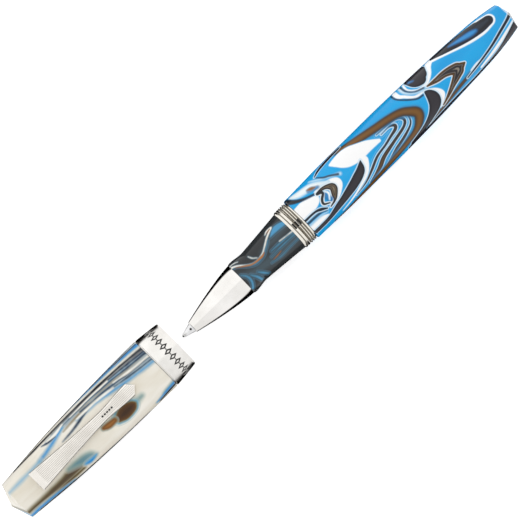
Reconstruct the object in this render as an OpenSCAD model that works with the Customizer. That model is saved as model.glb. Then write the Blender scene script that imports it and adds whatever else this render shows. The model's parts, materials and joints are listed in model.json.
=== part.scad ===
// Capped rollerball pen in swirled resin, with its cap pulled off and lying in line in front of it.
// The pen's axis is X: the tail points to +X and the cap's crown to -X. The clip is on top, at +Z.
// The origin is on the axis, at the middle of the barrel's straight waist.

/* [Barrel] */
// Radius of the straight waist
waist_r = 7.14; // [7.0:0.02:7.6]
// Length of the straight waist
waist_length = 16.5; // [10:0.5:20]
// Radius at the mouth
mouth_r = 6.87; // [6.8:0.01:7.0]
// Place of the mouth
mouth_x = -22.3; // [-23:0.1:-22.3]
// Place of the tail's corners
tail_x = 58.0; // [56:0.1:62]
// Radius of the tail's corners
tail_r = 4.6; // [4.2:0.1:5.2]
// Height of the six-sided point on the tail
tail_point = 1.4; // [0.8:0.1:2]

/* [Cap] */
// Place of the lip while the cap is off
lip_x = -70.5; // [-75:0.1:-70.5]
// Length of the metal band at the lip
band_length = 7.8; // [6:0.1:8.5]
// Length of the resin from the band to the crown's corners
cap_resin_length = 53.3; // [53:0.1:56]
// Largest radius of the cap
cap_r = 8.38; // [8.3:0.02:8.8]
// Radius of the lip
lip_r = 7.53; // [7.4:0.01:7.8]
// Radius of the crown's corners
crown_r = 6.28; // [6.2:0.02:6.6]
// Height of the six-sided point on the crown
crown_point = 2.0; // [1:0.1:3]

/* [Clip] */
// Length of the blade
clip_length = 37.4; // [36:0.1:38]
// Width of the square end
clip_root_w = 6.2; // [5.5:0.1:6.6]
// Width of the narrow waist
clip_waist_w = 3.0; // [2.4:0.1:3.6]
// Width of the shoulders behind the point
clip_shoulder_w = 4.2; // [3.6:0.1:5]
// Thickness of the blade
clip_t = 0.8; // [0.7:0.1:0.8]

/* [Section] */
// Length of the polished nose cone
cone_length = 18.7; // [18.5:0.1:19]
// Radius of the nose cone's front
cone_front_r = 1.75; // [1.7:0.05:1.9]
// Radius of the nose cone's back
cone_back_r = 5.12; // [5.1:0.01:5.2]
// Length of the resin grip
grip_length = 18.8; // [18.5:0.1:19]
// Radius of the grip's waist
grip_waist_r = 4.95; // [4.9:0.01:5.1]
// Radius of the grip's back
grip_back_r = 6.18; // [6.0:0.01:6.2]

/* [Refill] */
// Length of the rollerball refill
refill_length = 110.5; // [110:0.1:111]
// Radius of the refill's metal tube
refill_r = 3.0; // [2.9:0.05:3.0]
// Radius of the writing ball
ball_r = 0.35; // [0.25:0.05:0.35]

/* [Hidden] */
$fn = 96;
gap = 0.05;                                       // running clearance between pieces that move apart
far = 40;                                         // larger than any radius, for cutting tools
steps = 14;                                       // straight pieces in each curved outline
point_turn = 20;                                  // how far the six-sided points are turned about X

// Places along the axis
tip_x = -68;                                      // front of the writing ball
cone_x = tip_x + 3.76;
grip_x = cone_x + cone_length;
collar_x = grip_x + gap + grip_length;
collar_end = mouth_x - gap;
band_x = lip_x - band_length;
crown_x = band_x - cap_resin_length;
apex_x = crown_x - crown_point;
refill_end = tip_x + refill_length;

// The section's inner metal
sleeve_r = 4.0;
refill_bore_r = refill_r + 0.1;
sleeve_x = grip_x - 3.9;
sleeve_end = collar_x + 2.7;
tenon_r = 4.5;
tenon_length = 7.8;
thread_pitch = 0.75;
thread_depth = 0.4;

// The ring that carries the cap's thread
collar_r = 6.5;
collar_length = 1.9;
crest_r = 6.6;
crest_pitch = 0.7;
crests = 3;

// The barrel's inside
bush_r = 5.5;
bush_length = 8.3;
barrel_bore_r = 3.5;
barrel_floor = tip_x + 119.05;

// The refill's steps
tip_seat_x = tip_x + 10;
housing_x = tip_seat_x + gap;
housing_r = 2.35;
tube_x = tip_x + 16.5;
tip_base_r = 1.46;
tip_bore_r = 0.6;
tube_wall = 0.2;
plug_x = tip_x + 105;
plug_flange = 3.9;
spring_wire = 0.28;
spring_r = 2.1;
spring_turns = 6;

// The cap's inside
cap_bush_r = 7.15;
cap_bush_bore_r = 6.7;
cap_bush_x = band_x - 2;
liner_r = 6.2;
liner_bore_r = 5.6;
liner_mouth = band_x - 10.7;
liner_shoulder = band_x - 38.7;
liner_end = band_x - 44.7;
liner_end_r = 3.8;
throat_r = 6.6;
crown_cavity_r = 5.4;
crown_cavity_x = band_x - 49.2;

// The clip's places
clip_x = crown_x + 7.7;
clip_top = 9.4;
clip_rise = 0.7;
clip_waist_x = clip_x + 24.9;
clip_shoulder_x = clip_x + clip_length - 1.9;
clip_end = clip_x + clip_length;
leg_t = 1.0;
leg_w = 4.0;
leg_bottom = 4.6;
foot_length = 2.1;
slot_clearance = 0.25;
screw_r = 1.0;
bump_r = 0.8;                                     // the bump under the point that rests on the cap

// A solid of revolution about X. Each point is [place along X, radius].
module turned(points) {
    rotate([0, 90, 0]) rotate_extrude() polygon([for (p = points) [p[1], p[0]]]);
}

// A straight bore or bar along X
module bar(from, to, r) {
    translate([from, 0, 0]) rotate([0, 90, 0]) cylinder(h = to - from, r = r);
}

// A tube along X
module tube(from, to, r, bore) {
    difference() {
        bar(from, to, r);
        bar(from - 1, to + 1, bore);
    }
}

// Six flat faces that meet on the axis at apex. The corners of radius corner_r lie height away, and
// side is -1 where the point looks to -X. This is what the faces cut away.
module point_cutter(apex, corner_r, height, side) {
    slope = atan(height / (corner_r * cos(30)));
    for (a = [point_turn:60:point_turn + 300])
        rotate([a, 0, 0]) translate([apex, 0, 0]) rotate([0, side * slope, 0])
            translate([side < 0 ? -far : 0, -far, -far]) cube([far, 2 * far, 2 * far]);
}

// Ribs of a screw thread, as rings: points that run from one end to the other
function ribs(from, count, pitch, root, crest) =
    [for (i = [0:count - 1], p = [[0.15, root], [0.35, crest], [0.65, crest], [0.85, root]])
        [from + (i + p[0]) * pitch, p[1]]];

// Outer radii along the pen
function ease(k) = (1 - cos(180 * k)) / 2;
function barrel_front_r(k) = mouth_r + (waist_r - mouth_r) * ease(k);
function barrel_back_r(k) = waist_r - (waist_r - tail_r) * (0.69 * pow(k, 1.7) + 0.31 * pow(k, 10));
function cap_outer_r(k) = cap_r - (cap_r - crown_r) * pow(k, 2.2);
function band_outer_r(k) = cap_r - (cap_r - lip_r) * pow(k, 1.15);
function cone_outer_r(k) = cone_back_r - (cone_back_r - cone_front_r) * pow(1 - k, 1.4);
function grip_outer_r(k) = grip_waist_r + (grip_back_r - grip_waist_r) * pow(k, 1.08);
function blend_x(from, to, k) = from + (to - from) * k;

// Half the width of the clip's blade along its length
function clip_half(x) =
    x < clip_waist_x
    ? clip_waist_w / 2 + (clip_root_w - clip_waist_w) / 2 * pow((clip_waist_x - x) / (clip_waist_x - clip_x), 1.35)
    : clip_waist_w / 2 + (clip_shoulder_w - clip_waist_w) / 2
      * ease((x - clip_waist_x) / (clip_shoulder_x - clip_waist_x));

// Height of the clip's top face along its length
function clip_z(k) = clip_top + clip_rise * sin(180 * k) - 0.15 * k;

module cap_shell() {
    reach = 1 + crown_point / cap_resin_length;
    outer = [for (i = [0:steps]) let (k = reach * i / steps)
        [blend_x(band_x, crown_x, k), cap_outer_r(k)]];
    color("antiquewhite") difference() {
        turned(concat([[band_x, 0]], outer, [[apex_x, 0]]));
        point_cutter(apex_x, crown_r, crown_point, -1);
        bar(cap_bush_x, band_x + 1, cap_bush_r);
        bar(liner_mouth, cap_bush_x + 1, throat_r);
        turned([[liner_mouth + 1, 0], [liner_mouth + 1, liner_r + gap], [liner_shoulder - 0.2, liner_r + gap],
                [liner_shoulder - 2.3, crown_cavity_r], [crown_cavity_x, crown_cavity_r], [crown_cavity_x, 0]]);
        bar(crown_cavity_x - 3, crown_cavity_x + 1, screw_r);
        translate([clip_x - slot_clearance, -leg_w / 2 - slot_clearance, 3])
            cube([leg_t + 2 * slot_clearance, leg_w + 2 * slot_clearance, 10]);
    }
}

module cap_band() {
    outer = [for (i = [0:steps]) let (k = 0.95 * i / steps)
        [blend_x(band_x, lip_x, k), band_outer_r(k)]];
    lip_in = 6.75;
    color("silver") turned(concat(outer,
        [[lip_x, lip_r - 0.25], [lip_x, lip_in + 0.1], [lip_x - 0.1, lip_in], [lip_x - 0.5, lip_in],
         [lip_x - 0.5, cap_bush_r], [band_x, cap_bush_r]]));
}

module cap_bush() {
    groove_r = cap_bush_bore_r + 0.25;
    groove_x = lip_x - 4.6;
    color("gainsboro") turned(concat(
        [[cap_bush_x, cap_bush_r], [cap_bush_x, cap_bush_bore_r], [groove_x - 0.2, cap_bush_bore_r]],
        ribs(groove_x, 5, crest_pitch, groove_r, cap_bush_bore_r),
        [[lip_x - 0.5, groove_r], [lip_x - 0.5, cap_bush_r]]));
}

module inner_cap() {
    wall = liner_r - liner_bore_r;
    color("dimgray") turned([
        [liner_mouth, liner_bore_r + 0.2], [liner_mouth, liner_r], [liner_shoulder, liner_r],
        [liner_end, liner_end_r], [liner_end, 0], [liner_end + 0.8, 0], [liner_end + 0.8, liner_end_r - wall],
        [liner_shoulder + 2, liner_bore_r], [liner_mouth - 0.4, liner_bore_r]]);
}

module clip() {
    top = [for (i = [0:steps]) let (k = i / steps) [blend_x(clip_x, clip_end, k), clip_z(k)]];
    under = [for (i = [steps:-1:0]) let (k = i / steps)
        [blend_x(clip_x + leg_t, clip_end, k), clip_z(k) - clip_t]];
    edge = [for (i = [0:steps]) let (x = blend_x(clip_x, clip_shoulder_x, i / steps)) [x, clip_half(x)]];
    color("silver") {
        intersection() {
            rotate([90, 0, 0]) linear_extrude(2 * far, center = true) polygon(concat(top, under));
            linear_extrude(far) polygon(concat(edge, [[clip_end, 0]],
                [for (i = [steps:-1:0]) [edge[i][0], -edge[i][1]]]));
        }
        translate([clip_x, -leg_w / 2, leg_bottom]) cube([leg_t, leg_w, clip_top - leg_bottom - 0.2]);
        translate([clip_x - foot_length, -leg_w / 2 + 0.4, leg_bottom])
            cube([foot_length + 0.1, leg_w - 0.8, 0.5]);
        translate([clip_shoulder_x - 1.2, 0, 0]) intersection() {
            translate([0, 0, cap_r + gap + bump_r]) rotate([90, 0, 0])
                cylinder(h = 2.4, r = bump_r, center = true);
            translate([-2, -2, cap_r]) cube([4, 4, clip_top - cap_r - 0.3]);
        }
    }
}

module clip_retainer() {
    color("peru") difference() {
        bar(crown_cavity_x, clip_x - 0.4, crown_cavity_r);
        bar(crown_cavity_x - 1, clip_x, screw_r);
        translate([crown_cavity_x - 1, -leg_w / 2, leg_bottom - 0.45]) cube([5, leg_w, 3]);
    }
}

module cap_screw() {
    head_x = clip_x - 0.4;
    color("dimgray") difference() {
        union() {
            bar(crown_cavity_x - 3, head_x, screw_r);
            bar(head_x, head_x + 1.1, 1.9);
        }
        translate([head_x + 0.6, -0.25, -3]) cube([1, 0.5, 6]);
    }
}

module barrel_shell() {
    half = waist_length / 2;
    front = [for (i = [0:steps - 1]) let (k = i / steps) [blend_x(mouth_x, -half, k), barrel_front_r(k)]];
    reach = 1 + tail_point / (tail_x - half);
    back = [for (i = [1:steps]) let (k = reach * i / steps) [blend_x(half, tail_x, k), barrel_back_r(k)]];
    color("deepskyblue") difference() {
        turned(concat([[mouth_x, 0]], front, [[-half, waist_r], [half, waist_r]], back,
            [[tail_x + tail_point, 0]]));
        point_cutter(tail_x + tail_point, tail_r, tail_point, 1);
        bar(mouth_x - 1, mouth_x + bush_length + 0.2, bush_r);
        bar(mouth_x, barrel_floor, barrel_bore_r);
    }
}

module barrel_bush() {
    from = mouth_x + 0.2;
    to = from + bush_length;
    bore = tenon_r + gap;
    count = floor((bush_length - 1) / thread_pitch);
    color("gainsboro") turned(concat(
        [[from, bush_r], [from, bore]], ribs(from + 0.4, count, thread_pitch, bore + thread_depth, bore),
        [[to, bore], [to, bush_r]]));
}

module section_grip() {
    from = grip_x + gap;
    flare_x = from + 0.9;
    waist_x = from + 5;
    flare_r = 5.36;
    front = [for (i = [0:8]) [blend_x(flare_x, waist_x, i / 8),
        flare_r - (flare_r - grip_waist_r) * ease(i / 8)]];
    back = [for (i = [1:steps]) [blend_x(waist_x, collar_x, i / steps), grip_outer_r(i / steps)]];
    color("darkslategray") turned(concat(
        [[from, sleeve_r], [from, cone_back_r + 0.05], [from + 0.3, flare_r - 0.06]],
        front, back, [[collar_x, sleeve_r]]));
}

module section_sleeve() {
    threads = ribs(sleeve_x + 0.3, 4, thread_pitch, sleeve_r - 0.3, sleeve_r);
    color("gainsboro") turned(concat(
        [[sleeve_x, refill_bore_r], [sleeve_x, sleeve_r - 0.3]], threads,
        [[grip_x + gap, sleeve_r - 0.3], [grip_x + gap, sleeve_r], [sleeve_end, sleeve_r],
         [sleeve_end, refill_bore_r]]));
}

module thread_collar() {
    thread_x = collar_x + collar_length + 0.1;
    root_r = crest_r - 0.35;
    relief_r = crest_r - 0.5;
    tenon_x = collar_end + 0.5;
    tenon_end = collar_end + tenon_length;
    count = floor((tenon_length - 1) / thread_pitch);
    color("silver") turned(concat(
        [[collar_x, sleeve_r], [collar_x, grip_back_r + 0.05], [collar_x + 0.3, collar_r],
         [collar_x + collar_length - 0.25, collar_r], [collar_x + collar_length, root_r]],
        ribs(thread_x, crests, crest_pitch, root_r, crest_r),
        [[collar_end - 0.35, relief_r], [collar_end, relief_r], [collar_end, tenon_r - thread_depth],
         [tenon_x, tenon_r - thread_depth]],
        ribs(tenon_x, count, thread_pitch, tenon_r - thread_depth, tenon_r),
        [[tenon_end, tenon_r - thread_depth], [tenon_end, refill_bore_r], [sleeve_end, refill_bore_r],
         [sleeve_end, sleeve_r]]));
}

module nose_cone() {
    outer = [for (i = [0:steps]) let (k = i / steps)
        [blend_x(cone_x + 0.1, grip_x, k), cone_outer_r(k)]];
    socket_r = sleeve_r + gap;
    tip_clear_r = tip_base_r + 0.09;
    housing_clear_r = housing_r + 0.1;
    color("silver") turned(concat(
        [[cone_x, tip_clear_r], [cone_x, cone_front_r - 0.12]], outer,
        [[grip_x, socket_r], [sleeve_x - gap, socket_r], [sleeve_x - gap, refill_bore_r],
         [tube_x - 0.6, refill_bore_r], [tube_x - 0.6, housing_clear_r], [tip_seat_x, housing_clear_r],
         [tip_seat_x, tip_clear_r]]));
}

module refill_tube() {
    color("lightsteelblue") tube(tube_x, plug_x, refill_r, refill_r - tube_wall);
}

module refill_end_plug() {
    color("navy") {
        bar(plug_x - 1.5, plug_x + 0.1, refill_r - tube_wall);
        bar(plug_x, plug_x + plug_flange, refill_r);
        bar(plug_x + plug_flange - 0.1, refill_end, 1.5);
    }
}

module refill_housing() {
    spigot_end = tube_x + 7.5;
    color("black") turned([
        [housing_x, 0.95], [housing_x, housing_r - 0.15], [housing_x + 0.15, housing_r],
        [tube_x - 0.5, housing_r], [tube_x - 0.5, refill_r], [tube_x, refill_r],
        [tube_x, refill_r - tube_wall], [spigot_end, refill_r - tube_wall], [spigot_end, tip_bore_r],
        [housing_x + 4, tip_bore_r], [housing_x + 4, 0.95]]);
}

module refill_tip() {
    front = tip_x + 0.28;
    back = housing_x;
    color("lightgray") difference() {
        turned([[front, 0], [front, 0.42], [front + 0.1, 0.46], [cone_x + 0.1, tip_base_r],
                [back, tip_base_r], [back, 0.95], [back + 4, 0.95], [back + 4, 0]]);
        translate([tip_x + ball_r, 0, 0]) sphere(r = ball_r + 0.02);
        bar(tip_x + ball_r, tip_x + 3.2, 0.25);
        bar(tip_x + 3, back + 5, tip_bore_r);
    }
}

module writing_ball() {
    color("gray") translate([tip_x + ball_r, 0, 0]) sphere(r = ball_r);
}

module ink_reservoir() {
    from = tube_x + 7.6;
    color("mediumblue") difference() {
        bar(from, plug_x - 1.6, refill_r - tube_wall - gap);
        bar(from - 1, from + 16, tip_bore_r);
    }
}

module ink_wick() {
    color("slateblue") bar(tip_x + 3.1, tube_x + 23.5, tip_bore_r);
}

// A wire wound as a helix about X, closed at both ends
function spring_point(i, side, per_turn, from, length) =
    let (turn = i / per_turn, a = 360 * turn, b = 360 * side / 8, r = spring_r + spring_wire * cos(b))
    [from + length * turn / spring_turns + spring_wire * sin(b), r * cos(a), r * sin(a)];

module refill_spring() {
    per_turn = 20;
    sides = 8;
    last = per_turn * spring_turns;
    from = plug_x + plug_flange + spring_wire + gap;
    length = barrel_floor - from - spring_wire - gap;
    points = [for (i = [0:last], s = [0:sides - 1]) spring_point(i, s, per_turn, from, length)];
    skin = [for (i = [0:last - 1], s = [0:sides - 1]) let (n = (s + 1) % sides)
        [i * sides + s, i * sides + n, (i + 1) * sides + n, (i + 1) * sides + s]];
    ends = [[for (s = [sides - 1:-1:0]) s], [for (s = [0:sides - 1]) last * sides + s]];
    color("gray") polyhedron(points, concat(skin, ends));
}

cap_shell();
cap_band();
cap_bush();
inner_cap();
clip();
clip_retainer();
cap_screw();
barrel_shell();
barrel_bush();
section_grip();
section_sleeve();
thread_collar();
nose_cone();
refill_tube();
refill_end_plug();
refill_housing();
refill_tip();
writing_ball();
ink_reservoir();
ink_wick();
refill_spring();
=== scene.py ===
"""The looks of the rollerball pen with its cap off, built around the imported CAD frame.

Lengths in this script are in millimetres until a mesh is made. The pen's axis is X: the tail is at +X, the
cap's crown at -X, and the clip on top, at +Z. An angle round the axis is in degrees from the top and grows
towards +Y.
"""
import json
import math

import bmesh
import bpy
import numpy as np
from mathutils import Matrix, Vector


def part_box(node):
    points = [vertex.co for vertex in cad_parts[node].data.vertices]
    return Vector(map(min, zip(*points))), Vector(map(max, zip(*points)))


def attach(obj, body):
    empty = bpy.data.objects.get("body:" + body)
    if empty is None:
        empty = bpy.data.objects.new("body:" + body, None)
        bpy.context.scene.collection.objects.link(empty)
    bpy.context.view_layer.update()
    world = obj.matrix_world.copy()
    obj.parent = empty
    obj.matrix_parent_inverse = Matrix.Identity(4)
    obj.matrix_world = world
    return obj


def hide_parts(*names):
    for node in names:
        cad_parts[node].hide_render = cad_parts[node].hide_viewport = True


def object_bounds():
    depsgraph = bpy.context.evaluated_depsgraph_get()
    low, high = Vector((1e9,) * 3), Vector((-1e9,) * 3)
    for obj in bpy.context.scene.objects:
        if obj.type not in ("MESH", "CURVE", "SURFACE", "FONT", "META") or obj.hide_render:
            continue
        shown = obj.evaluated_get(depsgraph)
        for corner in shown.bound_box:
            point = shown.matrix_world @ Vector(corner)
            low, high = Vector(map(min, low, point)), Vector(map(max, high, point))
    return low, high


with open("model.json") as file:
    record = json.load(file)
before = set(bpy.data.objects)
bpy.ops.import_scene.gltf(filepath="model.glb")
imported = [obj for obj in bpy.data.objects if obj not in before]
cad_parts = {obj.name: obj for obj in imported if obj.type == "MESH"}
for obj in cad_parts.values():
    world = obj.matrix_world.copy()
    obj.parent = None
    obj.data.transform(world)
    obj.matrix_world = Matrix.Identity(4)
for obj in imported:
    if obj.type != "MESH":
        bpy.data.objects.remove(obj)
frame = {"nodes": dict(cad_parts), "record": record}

CAD_BOX = [list(map(float, corner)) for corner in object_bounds()]
MM = 0.001
SEGMENTS = 180                   # steps round a turned piece, a multiple of 6 for the six-sided points
POINT_TURN = -10.0               # angle of the first corner of the six-sided points
FACET_SHOW = 0.25                # how far the round sides flatten between the corners of a point
SHARP = math.radians(13)         # an edge that turns more than this stays crisp


def span(node):
    """(lowest x, highest x, radius) of a CAD node, in millimetres."""
    low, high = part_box(node)
    return low[0] / MM, high[0] / MM, high[1] / MM


# ------------ outlines shared with the CAD model
waist = next(m for m in frame["record"]["mounts"] if m["name"] == "barrel_waist")["dims"]
WAIST_R, WAIST_HALF = waist["r_mm"], waist["length_mm"] / 2
MOUTH_X, TAIL_APEX, _ = span("barrel_shell")
TAIL_POINT = 1.4
TAIL_R = 4.6
MOUTH_R = 6.87
APEX_X, BAND_X, CAP_R = span("cap_shell")
CROWN_POINT = 2.0
CROWN_R = 6.28
LIP_X = span("cap_band")[1]
LIP_R = 7.53
COLLAR_X, TENON_END, CREST_R = span("thread_collar")
CONE_X, GRIP_X, CONE_R = span("nose_cone")
CLIP_FOOT, CLIP_END, _ = span("clip")
GRIP_WAIST_R = 4.95
GRIP_R = 6.18
GAP = 0.05                       # between pieces that move apart
SLEEVE_R = 4.0                   # the tube through the grip
REFILL_BORE_R = 3.1
BUSH_R = 7.15                    # the threaded bush in the cap's lip
COLLAR_R = 6.5                   # the ring's plain front part
CREST_HEIGHT = 0.35              # of the cap's thread on the ring


def ease(k):
    """Smooth rise from 0 to 1."""
    return (1 - np.cos(np.pi * k)) / 2


def barrel_r(t):
    """Outer radius of the barrel, t behind its mouth."""
    front = -WAIST_HALF - MOUTH_X
    back = t + MOUTH_X - WAIST_HALF
    k = np.clip(back / (TAIL_APEX - TAIL_POINT - WAIST_HALF), 0, 1.2)
    taper = (WAIST_R - TAIL_R) * (0.69 * k ** 1.7 + 0.31 * k ** 10)
    swell = (WAIST_R - MOUTH_R) * (1 - ease(np.clip(t / front, 0, 1)))
    return WAIST_R - taper - swell


def cap_r(t):
    """Outer radius of the cap's resin, t from the metal band towards the crown."""
    k = np.clip(t / (BAND_X - APEX_X - CROWN_POINT), 0, 1.1)
    return CAP_R - (CAP_R - CROWN_R) * k ** 2.2


def band_r(t):
    """Outer radius of the lip band, t from the resin towards the lip."""
    return CAP_R - (CAP_R - LIP_R) * np.clip(t / (LIP_X - BAND_X), 0, 1) ** 1.15


# ------------ meshes
def mesh_object(name, points, faces, material=None):
    """An object from points in millimetres, smooth but for its crisp edges, its faces turned outwards."""
    mesh = bpy.data.meshes.new(name)
    mesh.from_pydata((np.asarray(points, float) * MM).tolist(), [], faces)
    shape = bmesh.new()
    shape.from_mesh(mesh)
    bmesh.ops.recalc_face_normals(shape, faces=shape.faces)
    for face in shape.faces:
        face.smooth = True
    for edge in shape.edges:
        edge.smooth = edge.calc_face_angle(0.0) < SHARP
    shape.to_mesh(mesh)
    shape.free()
    made = bpy.data.objects.new(name, mesh)
    bpy.context.scene.collection.objects.link(made)
    if material:
        mesh.materials.append(material)
    return made


def place(piece, body, slot, *nodes):
    """Fixes a piece to its body and hides the CAD nodes that it stands for."""
    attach(piece, body)
    if nodes:
        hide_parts(*nodes)


def around(count=SEGMENTS, start=0.0):
    """Angles round the axis, in radians."""
    return np.radians(start) + np.arange(count) * 2 * np.pi / count


def ring(x, r, angles):
    """Points of one ring; x and r may change round the axis."""
    x, r = np.broadcast_to(x, angles.shape), np.broadcast_to(r, angles.shape)
    return np.stack([x, r * np.sin(angles), r * np.cos(angles)], axis=-1)


def ring_faces(rows, count, closed=False):
    """Quads between rows of rings; closed joins the last row to the first."""
    faces = []
    for i in range(rows if closed else rows - 1):
        a, b = i * count, (i + 1) % rows * count
        faces += [(a + j, a + (j + 1) % count, b + (j + 1) % count, b + j) for j in range(count)]
    return faces


def turned(name, profile, material, count=SEGMENTS, shape=None):
    """A solid of revolution whose closed profile is a list of (x, radius); shape may change x and r."""
    angles = around(count)
    rows = []
    for x, r in profile:
        row_x, row_r = np.full(count, float(x)), np.full(count, float(r))
        if shape:
            row_x, row_r = shape(row_x, row_r, angles)
        rows.append(ring(row_x, row_r, angles))
    return mesh_object(name, np.concatenate(rows), ring_faces(len(rows), count, closed=True), material)


def curve(function, start, end, count):
    """(x, radius) points of an outline where the radius is a function of x."""
    return [(float(x), float(function(x))) for x in np.linspace(start, end, count)]


def pointed_shell(name, origin, side, outer, length, point, corner_r, bore, facet_from, material, slot=None):
    """A resin tube that ends in a low six-sided point.

    origin is the x of its open end and side the direction of the point. bore lists (distance, radius) of
    the inside from the open end on. facet_from is where the round outside starts to show the six corners.
    slot is (from, to, half angle) of a hole through the top; from and to are distances that bore lists too.
    """
    angles = around(start=POINT_TURN)
    off_middle = np.radians((np.degrees(angles) - POINT_TURN) % 60 - 30)
    slope = corner_r * math.cos(math.radians(30)) / point

    def radius(t):
        fade = FACET_SHOW * ease(np.clip((t - facet_from) / (length - facet_from), 0, 1))
        return outer(t) * (1 - fade * (1 - math.cos(math.radians(30)) / np.cos(off_middle)))

    edge = np.full(SEGMENTS, float(length))
    for _ in range(12):
        edge = length + point - radius(edge) * np.cos(off_middle) / slope
    stations = list(np.linspace(0.005, 1, int(length / 0.3) + 1))
    if slot:
        stations = sorted([s for s in stations if min(abs(s * length - t) for t in slot[:2]) > 0.1]
                          + [t / length for t in slot[:2]])
    rows = [(edge * 0 + 0.1, outer(0.1) - 0.15)] + [(edge * s, radius(edge * s)) for s in stations]
    for k in (0.04, 0.2, 0.4, 0.6, 0.8, 0.985):
        t = edge + (length + point - edge) * k
        rows.append((t, (length + point - t) * slope / np.cos(off_middle)))
    inside = len(rows)
    rows += [(np.full(SEGMENTS, float(t)), np.full(SEGMENTS, float(r))) for t, r in reversed(bore)]
    points = np.concatenate([ring(origin + side * t, r, angles) for t, r in rows])
    faces = ring_faces(len(rows), SEGMENTS, closed=True)
    last_outside, first_inside = (inside - 1) * SEGMENTS, inside * SEGMENTS
    dropped = set(range(last_outside, first_inside))
    closing = [[start + j for j in range(SEGMENTS)] for start in (last_outside, first_inside)]
    if slot:
        columns = [j for j in range(SEGMENTS) if abs((np.degrees(angles[j]) + 181) % 360 - 180) < slot[2]]
        columns.sort(key=lambda j: (np.degrees(angles[j]) + 180) % 360)
        out = [1 + stations.index(t / length) for t in slot[:2]]
        bored = [t for t, _ in reversed(bore)]
        into = [inside + bored.index(t) for t in slot[:2]]
        for low, high in (out, (into[1], into[0])):
            dropped |= {row * SEGMENTS + j for row in range(low, high) for j in columns}
        for a, b in zip(out, into):
            for j in columns:
                corners = ((a, j), (a, j + 1), (b, j + 1), (b, j))
                closing.append([row * SEGMENTS + k % SEGMENTS for row, k in corners])
        for j in (columns[0], (columns[-1] + 1) % SEGMENTS):
            closing.append([row * SEGMENTS + j for row in list(range(out[0], out[1] + 1)) + into[::-1]])
    faces = [face for i, face in enumerate(faces) if i not in dropped] + closing
    return mesh_object(name, points, faces, material)


# ------------ painted resin
FAR = 9.0                        # a distance beyond every layer's reach


def smooth_path(points, steps=8):
    """Points on a Catmull-Rom curve through a stroke's own points."""
    points = np.array(points, float)
    padded = np.vstack([2 * points[0] - points[1], points, 2 * points[-1] - points[-2]])
    path = []
    for i in range(1, len(points)):
        p0, p1, p2, p3 = padded[i - 1:i + 3]
        for k in np.arange(steps) / steps:
            path.append(0.5 * (2 * p1 + (p2 - p0) * k + (2 * p0 - 5 * p1 + 4 * p2 - p3) * k ** 2
                               + (3 * p1 - p0 - 3 * p2 + p3) * k ** 3))
    path.append(points[-1])
    path = np.array(path)
    path[:, 2] = np.maximum(path[:, 2], 0.02)
    return path


def stroke_distance(t, angle, radius, strokes):
    """Distance in millimetres from each point of a skin to the edge of the nearest stroke, negative inside.

    A stroke is a list of (distance along the piece, angle, half width).
    """
    nearest = np.full(len(t), FAR)
    for stroke in strokes:
        path = smooth_path(stroke)
        for (t0, a0, w0), (t1, a1, w1) in zip(path[:-1], path[1:]):
            along = t - t0
            across = radius * np.radians((angle - a0 + 180) % 360 - 180)
            step_t, step_a = t1 - t0, radius * math.radians(a1 - a0)
            k = np.clip((along * step_t + across * step_a) / (step_t ** 2 + step_a ** 2 + 1e-9), 0, 1)
            gap = np.hypot(along - k * step_t, across - k * step_a) - (w0 + (w1 - w0) * k)
            nearest = np.minimum(nearest, gap)
    return nearest


def polar(piece):
    """Along the axis, radius and angle in radians of each of the piece's points, lengths in millimetres."""
    co = np.empty(len(piece.data.vertices) * 3)
    piece.data.vertices.foreach_get("co", co)
    x, y, z = co.reshape(-1, 3).T / MM
    return x, np.hypot(y, z), np.arctan2(y, z)


def sunk(r, distance, depth, width=0.1):
    """A radius or height lowered by depth where distance is negative, over a soft edge of that width."""
    return r - depth * np.clip(0.5 - distance / width, 0, 1)


def store(piece, name, values):
    """Keeps a number on each point, for the piece's material to read."""
    made = piece.data.attributes.new(name, "FLOAT", "POINT")
    made.data.foreach_set("value", np.asarray(values, np.float32))


def paint(piece, origin, side, layers, back):
    """Stores each layer's distance on the piece's points, for its material to colour.

    origin and side say where the strokes' distances start and which way they grow. The far side has the
    same strokes, running back from the distance back.
    """
    x, radius, angle = polar(piece)
    for name, strokes in layers.items():
        turned_round = [[(back - t, a + 180, w) for t, a, w in stroke] for stroke in strokes]
        distance = stroke_distance((x - origin) * side, np.degrees(angle), radius, strokes + turned_round)
        store(piece, name, distance)


# ------------ materials
def linear(colour):
    """Linear RGBA of a colour given as "rrggbb"."""
    parts = [int(colour[i:i + 2], 16) / 255 for i in (0, 2, 4)]
    return [c / 12.92 if c <= 0.04045 else ((c + 0.055) / 1.055) ** 2.4 for c in parts] + [1.0]


class Nodes:
    """Short ways to add nodes to a tree."""

    def __init__(self, tree):
        self.tree = tree

    def add(self, kind, inputs, **settings):
        """A node with its settings made, and its inputs linked to another node's output or given a value."""
        made = self.tree.nodes.new("ShaderNode" + kind)
        for key, value in settings.items():
            setattr(made, key, value)
        for key, value in inputs.items():
            if isinstance(value, bpy.types.NodeSocket):
                self.tree.links.new(value, made.inputs[key])
            else:
                made.inputs[key].default_value = value
        return made

    def math(self, operation, a, b=0.0, c=0.0):
        return self.add("Math", {0: a, 1: b, 2: c}, operation=operation).outputs[0]

    def between(self, value, low, high, to_low=0.0, to_high=1.0):
        """The value's place between low and high, held there, as a number from to_low to to_high."""
        return self.add("MapRange", {"Value": value, "From Min": low, "From Max": high,
                                     "To Min": to_low, "To Max": to_high}).outputs[0]


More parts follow.
